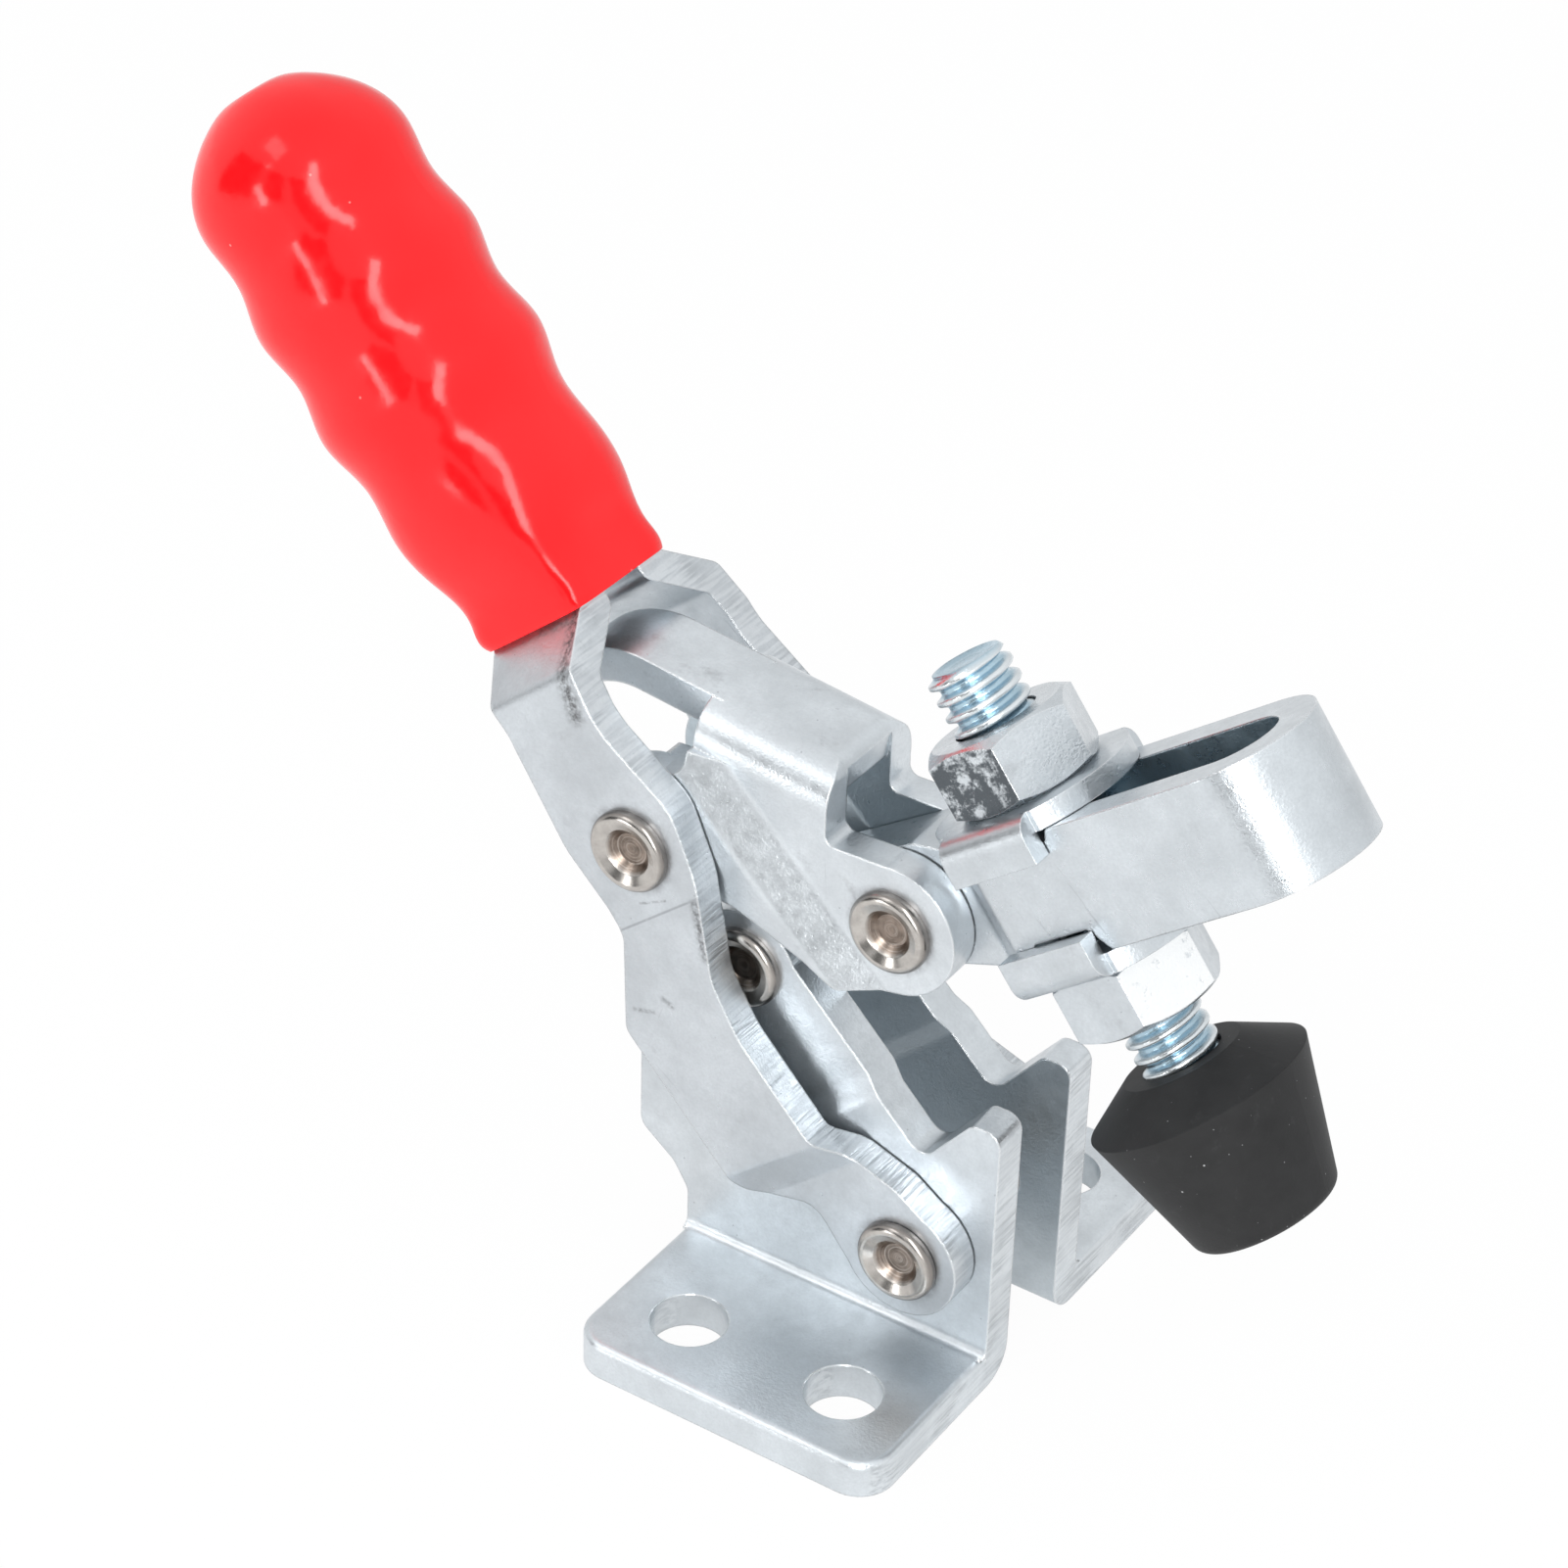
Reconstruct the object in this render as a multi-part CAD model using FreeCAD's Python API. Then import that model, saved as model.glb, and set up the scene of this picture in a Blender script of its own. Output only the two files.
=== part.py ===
import FreeCAD, Part
import math
import os

from FreeCAD import Placement, Rotation, Vector

# Vertical handle toggle clamp with a U-bent arm, half open, as a stamped and riveted assembly.
# X runs forwards to the spindle, Y to the left, Z up. The origin is the centre of the four mounting
# holes on the underside of the feet. The linkage lies in the XZ plane and is mirrored about Y = 0.
# All lengths are millimetres and all angles degrees.

# Linkage pivots at rest, as (X, Z), and the tilt of the handle and of the arm
base_front_pivot = (6.75, 10.8)
base_rear_pivot = (-8.8, 27.5)
arm_pivot = (2.8, 35.2)
link_pivot = (-15.7, 36.6)
handle_angle = 40.0
arm_angle = 37.2

# Sheet thicknesses and the play between sheets that slide on each other
base_sheet = 2.9
handle_sheet = 2.5
link_sheet = 2.6
arm_sheet = 2.65
side_play = 0.1

# Base plates
base_length = 25.5
base_half_width = 20.9
foot_corner_radius = 2.8
foot_edge_radius = 0.6
fold_inner_radius = 0.7
fold_outer_radius = 2.5
hole_spacing_x = 13.0
hole_spacing_y = 29.8
hole_radius = 2.8
web_tip_height = 22.6
web_lobe_radius = 4.4
web_joggle = 0.5
web_joggle_run = 1.6
web_joggle_start = (-13.9, 5.3)
web_joggle_line = 43.3

# Handle plates
handle_lobe_radius = 4.6
handle_step_start = 8.0
handle_step_end = 10.3
handle_crease = 29.2
handle_crown = 0.22
handle_crown_fall = 1.7
handle_bend_radius = 1.2
handle_pinch_start = 43.5
handle_pinch_middle = 45.6
handle_pinch_drop = 0.4
handle_pinch_end = 49.0
grip_plate_inner = 2.0
plate_tail_front = 2.7
plate_tail_back = -6.9
handle_end = 85.0

# Handle grip
grip_mouth = 50.1
grip_section_points = 20
grip_mouth_depth = 1.0
grip_mouth_flare = 0.3
# Each station of the grip: height above the mouth, front and rear distance from the handle's line,
# half width, and how square the section is (2 is an oval)
grip_stations = (
    (0.0, 3.4, 7.8, 5.35, 7.0),
    (2.2, 3.55, 8.1, 5.5, 6.0),
    (5.9, 4.5, 9.4, 6.4, 3.5),
    (9.9, 4.95, 10.9, 7.0, 2.7),
    (14.0, 4.7, 10.9, 7.05, 2.4),
    (18.1, 5.5, 11.9, 7.65, 2.4),
    (22.2, 4.7, 11.3, 7.15, 2.4),
    (26.3, 5.25, 11.9, 7.65, 2.4),
    (30.4, 4.5, 11.2, 7.0, 2.4),
    (34.4, 4.7, 11.5, 7.3, 2.4),
    (37.0, 3.9, 10.8, 6.6, 2.4),
    (39.0, 2.4, 9.4, 5.2, 2.3),
    (40.5, 0.4, 7.4, 3.4, 2.2),
    (41.2, -1.6, 5.4, 1.7, 2.0),
)

# Link bracket
link_lobe_radius = 5.0
link_top_slope = 7.0
link_top_length = 10.9
link_front_top = (-5.5, 10.2)
link_channel_depth = 5.5
link_bend_radius = 3.0
link_inner_radius = 0.4
link_flare = 1.5
link_flare_run = 3.0
link_flare_start = (-7.55, 1.48)
link_flare_line = 137.0
link_flare_bend_radius = 1.5
tongue_half_width = 3.1
tongue_length = 5.8
tongue_curl_radius = 8.0
tongue_curl_angle = 70.0

# Clamp arm
arm_lobe_radius = 4.6
arm_bar_top = 3.6
arm_bar_bottom = 5.5
arm_seat_depth_top = 0.8
arm_seat_depth_bottom = 1.8
arm_end_centre = 29.6
slot_play = 0.2
joggle_start = 7.0
joggle_end = 10.5
joggle_bend_radius = 1.2

# Rivets
rivet_head_radius = 3.1
rivet_head_height = 0.8
rivet_edge_height = 0.3
rivet_shank_radius = 2.0
rivet_recess_radius = 1.8
rivet_floor_radius = 1.2
rivet_recess_depth = 0.95
rivet_tail_radius = 2.5
rivet_tail_depth = 0.7
rivet_overlap = 0.5
running_clearance = 0.05
held_clearance = 0.02
face_play = 0.05

# Spindle, nuts and flanged washers
spindle_radius = 2.95
spindle_position = 12.75
spindle_top = 14.6
thread_chamfer = 0.6
nut_flats = 10.0
nut_height = 5.0
nut_face_ratio = 0.95
nut_chamfer_angle = 30.0
nut_bore_clearance = 0.05
washer_radius = 7.2
washer_sheet = 1.5
washer_bore_clearance = 0.25
ear_length = 7.4
ear_drop = 1.7
ear_bend_radius = 1.45

# Rubber tip, over the spindle's hex head
tip_rim_distance = 18.4
tip_height = 10.1
tip_rim_radius = 8.1
tip_end_radius = 5.3
tip_end_rounding = 0.9
tip_neck_radius = 4.4
tip_neck_height = 2.4
spindle_head_flats = 9.0
spindle_head_height = 4.0
head_cover = 3.0

# Distances of the sheets from the centre plane, worked out from the stack at each pivot
arm_outer = arm_sheet
web_upper_inner = arm_outer + side_play
web_upper_outer = web_upper_inner + base_sheet
web_lower_inner = web_upper_inner + web_joggle
web_lower_outer = web_lower_inner + base_sheet
link_front_inner = arm_outer + side_play
link_front_outer = link_front_inner + link_sheet
link_rear_outer = link_front_outer + link_flare
handle_lobe_inner = web_lower_outer + side_play
handle_inner = link_rear_outer + side_play
arm_bar_inner = spindle_radius + slot_play
arm_bar_outer = arm_bar_inner + arm_sheet
reach = handle_end


def rounded_face(points):
    """A face in the XZ plane through points (x, z, corner radius)."""
    count = len(points)
    starts = []
    ends = []
    arcs = []
    for index in range(count):
        x, z, radius = points[index]
        corner = Vector(x, 0, z)
        before = Vector(points[index - 1][0], 0, points[index - 1][1]) - corner
        after = Vector(points[(index + 1) % count][0], 0, points[(index + 1) % count][1]) - corner
        before.normalize()
        after.normalize()
        turn = before.getAngle(after)
        if radius <= 0 or turn > math.pi - 0.001:
            starts.append(corner)
            ends.append(corner)
            arcs.append(None)
            continue
        setback = radius / math.tan(turn / 2)
        bisector = before + after
        bisector.normalize()
        centre = corner + bisector * (radius / math.sin(turn / 2))
        start = corner + before * setback
        end = corner + after * setback
        middle = centre - bisector * radius
        starts.append(start)
        ends.append(end)
        arcs.append(Part.Arc(start, middle, end).toShape())
    edges = []
    for index in range(count):
        if arcs[index] is not None:
            edges.append(arcs[index])
        following = starts[(index + 1) % count]
        if ends[index].distanceToPoint(following) > 1e-6:
            edges.append(Part.makeLine(ends[index], following))
    return Part.Face(Part.Wire(edges))


def prism(points, y_low, y_high):
    """The XZ outline extruded from y_low to y_high."""
    face = rounded_face(points)
    face.translate(Vector(0, y_low, 0))
    return face.extrude(Vector(0, y_high - y_low, 0))


def pin(x, z, radius, y_low, y_high):
    """A cylinder along Y."""
    return Part.makeCylinder(radius, y_high - y_low, Vector(x, y_low, z), Vector(0, 1, 0))


def offset_path(path, distance):
    """A polyline moved sideways by a distance, with mitred corners."""
    moved = []
    for index in range(len(path)):
        here = Vector(path[index][0], path[index][1], 0)
        before = Vector(path[max(index - 1, 0)][0], path[max(index - 1, 0)][1], 0)
        last = min(index + 1, len(path) - 1)
        after = Vector(path[last][0], path[last][1], 0)
        incoming = (here - before) if index > 0 else (after - here)
        outgoing = (after - here) if index < len(path) - 1 else (here - before)
        incoming.normalize()
        outgoing.normalize()
        normal_in = Vector(-incoming.y, incoming.x, 0)
        normal_out = Vector(-outgoing.y, outgoing.x, 0)
        mitre = normal_in + normal_out
        mitre.normalize()
        shift = distance / mitre.dot(normal_in)
        moved.append((here.x + mitre.x * shift, here.y + mitre.y * shift))
    return moved


def bent_sheet(path, thickness, bend_radius):
    """A sheet that follows a path of (height, distance from the centre plane) on its inner face.

    The profile is extruded along X, so that intersecting it with an outline gives a joggled plate.
    """
    outer = offset_path(path, thickness)
    corners = []
    for index, (height, distance) in enumerate(path):
        corners.append((height, distance, bend_radius if 0 < index < len(path) - 1 else 0))
    for index in range(len(outer) - 1, -1, -1):
        height, distance = outer[index]
        corners.append((height, distance, bend_radius if 0 < index < len(outer) - 1 else 0))
    face = rounded_face(corners)
    solid = face.extrude(Vector(0, 2 * reach, 0))
    solid.translate(Vector(0, -reach, 0))
    # The profile is drawn with height along X and distance along Z: turn it to height Z, distance Y.
    solid.rotate(Vector(0, 0, 0), Vector(1, 1, 1), -120)
    return solid


def placed(shape, pivot, angle):
    """A shape built about its own pivot, moved to the pivot's place and tilt in the XZ plane."""
    result = shape.copy()
    move = Placement(Vector(pivot[0], 0, pivot[1]), Rotation(Vector(0, -1, 0), angle))
    result.Placement = move.multiply(shape.Placement)
    return result


def mirrored(shape):
    """The same piece on the other side of the clamp."""
    return shape.mirror(Vector(0, 0, 0), Vector(0, 1, 0))


def local(point, pivot, angle):
    """A point of the XZ plane, in the frame of a piece with that pivot and tilt."""
    dx = point[0] - pivot[0]
    dz = point[1] - pivot[1]
    turn = math.radians(angle)
    return (dx * math.cos(turn) + dz * math.sin(turn), dz * math.cos(turn) - dx * math.sin(turn))


def web_outline():
    """The side view of a base web, from the foot up to the arm's pivot and the front tip."""
    rear = -base_length / 2
    front = base_length / 2
    return [
        (rear, 0, 0),
        (front, 0, 0),
        (front, web_tip_height, 1.2),
        (front - 2.3, web_tip_height, 1.0),
        (front - 6.1, web_tip_height - 4.7, 1.2),
        (-4.6, 29.0, 2.0),
        (-6.2, 31.0, 0),
        (-12.5, 29.8, 0),
        (-17.3, 20.4, 2.5),
        (-17.3, 9.9, 1.5),
        (rear, 6.4, 1.5),
    ]


def base_plate():
    """Left base plate: a foot with two holes and a web that stands up from its fold."""
    half = base_length / 2
    foot = Part.makeBox(base_length, base_half_width - web_lower_inner, base_sheet,
                        Vector(-half, web_lower_inner, 0))
    corners = [edge for edge in foot.Edges
               if edge.BoundBox.YMin > base_half_width - 1e-6 and edge.BoundBox.XLength < 1e-6]
    foot = foot.makeFillet(foot_corner_radius, corners)
    top_rim = [edge for edge in foot.Edges
               if edge.BoundBox.ZMin > base_sheet - 1e-6
               and edge.BoundBox.YMax > web_lower_outer]
    foot = foot.makeFillet(foot_edge_radius, top_rim)

    lobe = pin(base_rear_pivot[0], base_rear_pivot[1], web_lobe_radius, 0, reach)
    outline = prism(web_outline(), 0, reach).fuse(lobe)
    path = [(-reach, web_lower_inner), (0, web_lower_inner), (web_joggle_run, web_upper_inner),
            (reach, web_upper_inner)]
    sheet = placed(bent_sheet(path, base_sheet, web_joggle_run), web_joggle_start, web_joggle_line)
    web = outline.common(sheet)

    fold = Part.makeBox(base_length, fold_inner_radius, fold_inner_radius,
                        Vector(-half, web_lower_outer, base_sheet))
    hollow = Part.makeCylinder(fold_inner_radius, base_length,
                               Vector(-half, web_lower_outer + fold_inner_radius,
                                      base_sheet + fold_inner_radius), Vector(1, 0, 0))
    plate = foot.fuse([web, fold.cut(hollow)]).removeSplitter()

    heel = Part.makeBox(base_length, fold_outer_radius, fold_outer_radius,
                        Vector(-half, web_lower_inner, 0))
    heel_round = Part.makeCylinder(fold_outer_radius, base_length,
                                   Vector(-half, web_lower_inner + fold_outer_radius,
                                          fold_outer_radius), Vector(1, 0, 0))
    plate = plate.cut(heel.cut(heel_round))

    for side in (-1, 1):
        plate = plate.cut(Part.makeCylinder(hole_radius, 3 * base_sheet,
                                            Vector(side * hole_spacing_x / 2, hole_spacing_y / 2,
                                                   -base_sheet)))
    for pivot, inner in ((base_front_pivot, web_lower_inner), (base_rear_pivot, web_upper_inner)):
        plate = plate.cut(pin(pivot[0], pivot[1], rivet_shank_radius + held_clearance, 0, reach))
        plate = plate.cut(rivet_tail(pivot, inner, held_clearance))
    return plate


def rivet_tail(pivot, inner, clearance):
    """The countersunk tail of a short rivet, flush with the inner face of its web."""
    return Part.makeCone(rivet_tail_radius + clearance, rivet_shank_radius + clearance,
                         rivet_tail_depth, Vector(pivot[0], inner, pivot[1]), Vector(0, 1, 0))


def rivet_head(seat):
    """A ring-shaped head with a rounded rim, seated on a face at that distance along +Y."""
    top = seat + rivet_head_height
    middle = (rivet_head_radius + rivet_recess_radius) / 2
    shoulder = math.sqrt(0.5)
    outer = Part.Arc(Vector(rivet_head_radius, seat + rivet_edge_height, 0),
                     Vector(middle + (rivet_head_radius - middle) * shoulder,
                            seat + rivet_edge_height + (rivet_head_height - rivet_edge_height) * shoulder, 0),
                     Vector(middle, top, 0)).toShape()
    lip = Part.makeLine(Vector(middle, top, 0), Vector(rivet_recess_radius, top - rivet_edge_height, 0))
    dish = Part.makeLine(Vector(rivet_recess_radius, top - rivet_edge_height, 0),
                         Vector(rivet_floor_radius, top - rivet_recess_depth, 0))
    rest = Part.makePolygon([Vector(rivet_floor_radius, top - rivet_recess_depth, 0),
                             Vector(0, top - rivet_recess_depth, 0), Vector(0, seat - 2 * rivet_overlap, 0),
                             Vector(rivet_shank_radius, seat - 2 * rivet_overlap, 0),
                             Vector(rivet_shank_radius, seat, 0),
                             Vector(rivet_head_radius, seat, 0),
                             Vector(rivet_head_radius, seat + rivet_edge_height, 0)])
    half = Part.Face(Part.Wire([outer, lip, dish] + rest.Edges))
    return half.revolve(Vector(0, 0, 0), Vector(0, 1, 0), 360)


def short_rivet(pivot, inner, seat):
    """Left rivet through one web: a flush countersunk tail inside and a head outside."""
    shank = pin(0, 0, rivet_shank_radius, inner, seat - rivet_overlap)
    body = shank.fuse([rivet_tail((0, 0), inner, 0), rivet_head(seat)]).removeSplitter()
    return placed(body, pivot, 0)


def long_rivet(pivot, seat):
    """A rivet right through the clamp, with a head on each side."""
    shank = pin(0, 0, rivet_shank_radius, rivet_overlap - seat, seat - rivet_overlap)
    body = shank.fuse([rivet_head(seat), mirrored(rivet_head(seat))]).removeSplitter()
    return placed(body, pivot, 0)


def handle_plate():
    """Left handle plate, in the handle's own frame with its bend lines along X and the grip up Z."""
    outline = [
        (-4.5, 0.4, 0),
        (4.5, 0.6, 0),
        (3.4, 4.6, 3.0),
        (1.0, 8.6, 2.0),
        (-0.9, 10.2, 1.5),
        (-1.4, 19.0, 8.0),
        (-0.6, 23.4, 4.0),
        (2.9, 29.6, 4.0),
        (4.6, 35.4, 4.0),
        (2.9, 42.0, 6.0),
        (plate_tail_front, grip_mouth, 0),
        (plate_tail_front, handle_end, 3.0),
        (plate_tail_back, handle_end, 3.0),
        (plate_tail_back, grip_mouth, 0),
        (-5.2, 44.4, 5.0),
        (-6.2, 36.0, 6.0),
        (-5.5, 29.0, 2.0),
        (-10.6, 22.6, 1.5),
        (-9.9, 8.6, 2.0),
        (-4.4, 5.7, 2.0),
    ]
    lobe = pin(0, 0, handle_lobe_radius, 0, reach)
    side_view = prism(outline, 0, reach).fuse(lobe)
    path = [
        (-reach, handle_lobe_inner),
        (handle_step_start, handle_lobe_inner),
        (handle_step_end, handle_inner),
        (handle_crease, handle_inner + handle_crown),
        (handle_crease + handle_crown_fall, handle_inner),
        (handle_pinch_start, handle_inner),
        (handle_pinch_middle, handle_inner - handle_pinch_drop),
        (handle_pinch_end, grip_plate_inner),
        (reach + handle_end, grip_plate_inner),
    ]
    plate = side_view.common(bent_sheet(path, handle_sheet, handle_bend_radius))
    joint = local(link_pivot, base_front_pivot, handle_angle)
    plate = plate.cut(pin(0, 0, rivet_shank_radius + running_clearance, 0, reach))
    plate = plate.cut(pin(joint[0], joint[1], rivet_shank_radius + held_clearance, 0, reach))
    return placed(plate, base_front_pivot, handle_angle)


def grip_section(height, front, rear, half_width, squareness):
    """A rounded section of the grip: an oval at squareness 2, nearer a rectangle above it."""
    middle = (front - rear) / 2
    half_height = (front + rear) / 2
    points = []
    for index in range(grip_section_points):
        turn = 2 * math.pi * (index + 0.5) / grip_section_points
        along = math.copysign(abs(math.cos(turn)) ** (2 / squareness), math.cos(turn))
        across = math.copysign(abs(math.sin(turn)) ** (2 / squareness), math.sin(turn))
        points.append(Vector(middle + half_height * along, half_width * across, grip_mouth + height))
    curve = Part.BSplineCurve()
    curve.interpolate(points, PeriodicFlag=True)
    return Part.Wire([curve.toShape()])


def handle_grip():
    """A moulded grip over the ends of both handle plates, with finger waves and a domed end."""
    body = Part.makeLoft([grip_section(*station) for station in grip_stations], True, False)
    wall = grip_plate_inner + handle_sheet + held_clearance
    back = plate_tail_back - held_clearance
    top = handle_end + held_clearance
    bell = grip_mouth + grip_mouth_depth
    corners = [(-wall, top), (wall, top), (wall, bell), (wall + grip_mouth_flare, grip_mouth),
               (-wall - grip_mouth_flare, grip_mouth), (-wall, bell), (-wall, top)]
    pocket = Part.Face(Part.makePolygon([Vector(back, y, z) for y, z in corners]))
    pocket = pocket.extrude(Vector(plate_tail_front + held_clearance - back, 0, 0))
    return placed(body.cut(pocket), base_front_pivot, handle_angle)


def link_bracket():
    """One channel-shaped stamping: two cheeks, the top between them and the rear tongue."""
    rear = local(link_pivot, arm_pivot, 0)
    slope = math.radians(link_top_slope)
    front_top = link_front_top
    rear_top = (front_top[0] - link_top_length * math.cos(slope),
                front_top[1] + link_top_length * math.sin(slope))
    cheek = [
        (rear_top[0], rear_top[1], 0),
        (front_top[0], front_top[1], 1.2),
        (front_top[0], 4.8, 0.8),
        (0.3, 4.98, 0),
        (-0.4, -4.98, 0),
        (-3.4, -5.6, 1.2),
        (-6.0, -4.2, 2.0),
        (-11.6, -2.1, 3.0),
        (rear[0] + 3.8, rear[1] - 3.24, 0),
        (rear[0], rear[1], 0),
        (rear[0] + 0.3, rear[1] + 4.98, 0),
        (rear_top[0], rear[1] + 5.6, 1.0),
    ]

    def side_view(low, high):
        lobes = [pin(0, 0, link_lobe_radius, low, high), pin(rear[0], rear[1], link_lobe_radius, low, high)]
        return prism(cheek, low, high).fuse(lobes)

    path = [(-reach, link_front_inner), (0, link_front_inner),
            (link_flare_run, link_front_inner + link_flare), (reach, link_front_inner + link_flare)]
    sheet = placed(bent_sheet(path, link_sheet, link_flare_bend_radius), link_flare_start, link_flare_line)
    left = side_view(0, reach).common(sheet)

    # The top is a channel section that runs back along its slope, trimmed to the side view.
    depth = link_channel_depth
    section = rounded_face([
        (-link_front_outer, 0, link_bend_radius), (link_front_outer, 0, link_bend_radius),
        (link_front_outer, -depth, 0), (link_front_inner, -depth, 0),
        (link_front_inner, -link_sheet, link_inner_radius),
        (-link_front_inner, -link_sheet, link_inner_radius), (-link_front_inner, -depth, 0),
        (-link_front_outer, -depth, 0)])
    section.rotate(Vector(0, 0, 0), Vector(0, 0, 1), 90)
    channel = section.extrude(Vector(2 * link_top_length, 0, 0))
    channel.translate(Vector(-2 * link_top_length, 0, 0))
    channel = placed(channel, front_top, -link_top_slope)
    channel = channel.common(side_view(-reach, reach))
    far_back = -3 * link_top_length
    bend_start = link_front_outer - link_bend_radius
    corner = Part.makeBox(4 * link_top_length, link_bend_radius + link_flare, link_bend_radius,
                          Vector(far_back, bend_start, -link_bend_radius))
    corner = corner.cut(Part.makeCylinder(link_bend_radius, 4 * link_top_length,
                                          Vector(far_back, bend_start, -link_bend_radius),
                                          Vector(1, 0, 0)))
    left = left.cut(placed(corner, front_top, -link_top_slope))

    # The tongue runs on from the rear of the top, flush with it, and curls down at its end.
    start = -link_top_length + 1.0
    centre = (-link_top_length - tongue_length, -tongue_curl_radius)
    turn = math.radians(90 + tongue_curl_angle)
    half_turn = math.radians(90 + tongue_curl_angle / 2)
    inside = tongue_curl_radius - link_sheet

    def on_curl(radius, angle):
        return Vector(centre[0] + radius * math.cos(angle), 0, centre[1] + radius * math.sin(angle))

    flat_top = Part.makeLine(Vector(start, 0, 0), Vector(centre[0], 0, 0))
    flat_low = Part.makeLine(Vector(centre[0], 0, -link_sheet), Vector(start, 0, -link_sheet))
    curl_top = Part.Arc(on_curl(tongue_curl_radius, math.pi / 2), on_curl(tongue_curl_radius, half_turn),
                        on_curl(tongue_curl_radius, turn)).toShape()
    curl_low = Part.Arc(on_curl(inside, turn), on_curl(inside, half_turn),
                        on_curl(inside, math.pi / 2)).toShape()
    tip = Part.makeLine(on_curl(tongue_curl_radius, turn), on_curl(inside, turn))
    back = Part.makeLine(Vector(start, 0, -link_sheet), Vector(start, 0, 0))
    tongue = Part.Face(Part.Wire([flat_top, curl_top, tip, curl_low, flat_low, back]))
    tongue.translate(Vector(0, -tongue_half_width, 0))
    tongue = placed(tongue.extrude(Vector(0, 2 * tongue_half_width, 0)), front_top, -link_top_slope)

    body = channel.fuse([left, mirrored(left), tongue]).removeSplitter()
    body = body.cut(pin(0, 0, rivet_shank_radius + held_clearance, -reach, reach))
    body = body.cut(pin(rear[0], rear[1], rivet_shank_radius + running_clearance, -reach, reach))
    return placed(body, arm_pivot, 0)


def clamp_arm():
    """The clamp arm in its own frame: one strip bent double, X along it from the link's pivot."""
    rear = local(base_rear_pivot, arm_pivot, arm_angle)
    lobe = arm_lobe_radius
    end = arm_end_centre + arm_bar_outer
    notch_top = arm_bar_top - arm_seat_depth_top
    notch_low = -(arm_bar_bottom - arm_seat_depth_bottom)
    ear = ear_length / 2
    side_view = prism([
        (rear[0], rear[1] + lobe, 0),
        (3.0, lobe, 1.0),
        (5.0, arm_bar_top, 1.0),
        (spindle_position - ear - 0.9, arm_bar_top, 0.3),
        (spindle_position - ear - 0.4, notch_top, 0.3),
        (spindle_position + ear + 0.1, notch_top, 0.3),
        (spindle_position + ear + 0.6, arm_bar_top, 0.3),
        (end, arm_bar_top, 0),
        (end, -arm_bar_bottom, 0),
        (spindle_position + ear + 0.8, -arm_bar_bottom, 0.5),
        (spindle_position + ear - 0.4, notch_low, 0.4),
        (spindle_position - 1.5, notch_low, 0.3),
        (spindle_position - 1.6, -arm_bar_bottom, 0.3),
        (5.0, -arm_bar_bottom, 2.0),
        (2.0, -lobe, 2.0),
        (rear[0], rear[1] - lobe, 0),
    ], -reach, reach)
    side_view = side_view.fuse(pin(rear[0], rear[1], lobe, -reach, reach))
    path = [(-reach, 0), (joggle_start, 0), (joggle_end, arm_bar_inner), (arm_end_centre, arm_bar_inner)]
    strip = bent_sheet(path, arm_sheet, joggle_bend_radius)
    strip.rotate(Vector(0, 0, 0), Vector(0, 1, 0), 90)
    loop = Part.makeCylinder(arm_bar_outer, 2 * reach, Vector(arm_end_centre, 0, -reach))
    loop = loop.cut(Part.makeCylinder(arm_bar_inner, 2 * reach, Vector(arm_end_centre, 0, -reach)))
    loop = loop.common(Part.makeBox(reach, 2 * reach, 2 * reach, Vector(arm_end_centre, -reach, -reach)))
    bar = strip.fuse([mirrored(strip), loop])
    body = side_view.common(bar).removeSplitter()
    for place in ((0, 0), rear):
        body = body.cut(pin(place[0], place[1], rivet_shank_radius + running_clearance, -reach, reach))
    return placed(body, arm_pivot, arm_angle)


def hex_prism(flats, height, base):
    """A hexagonal prism along Z, with two flats across the arm."""
    radius = flats / math.sqrt(3)
    corners = []
    for index in range(7):
        angle = math.radians(60 * index)
        corners.append(Vector(radius * math.cos(angle), radius * math.sin(angle), base))
    return Part.Face(Part.makePolygon(corners)).extrude(Vector(0, 0, height))


def hex_nut(base):
    """A plain hexagon nut, chamfered on both faces, with its bore."""
    body = hex_prism(nut_flats, nut_height, base)
    corner = nut_flats / math.sqrt(3)
    face_radius = nut_flats / 2 * nut_face_ratio
    fall = (corner - face_radius) * math.tan(math.radians(nut_chamfer_angle))
    outer = Part.makeCylinder(corner, nut_height - 2 * fall, Vector(0, 0, base + fall))
    low = Part.makeCone(face_radius, corner, fall, Vector(0, 0, base))
    high = Part.makeCone(corner, face_radius, fall, Vector(0, 0, base + nut_height - fall))
    body = body.common(outer.fuse([low, high]).removeSplitter())
    bore = Part.makeCylinder(spindle_radius + nut_bore_clearance, nut_height + 2, Vector(0, 0, base - 1))
    return body.cut(bore)


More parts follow.
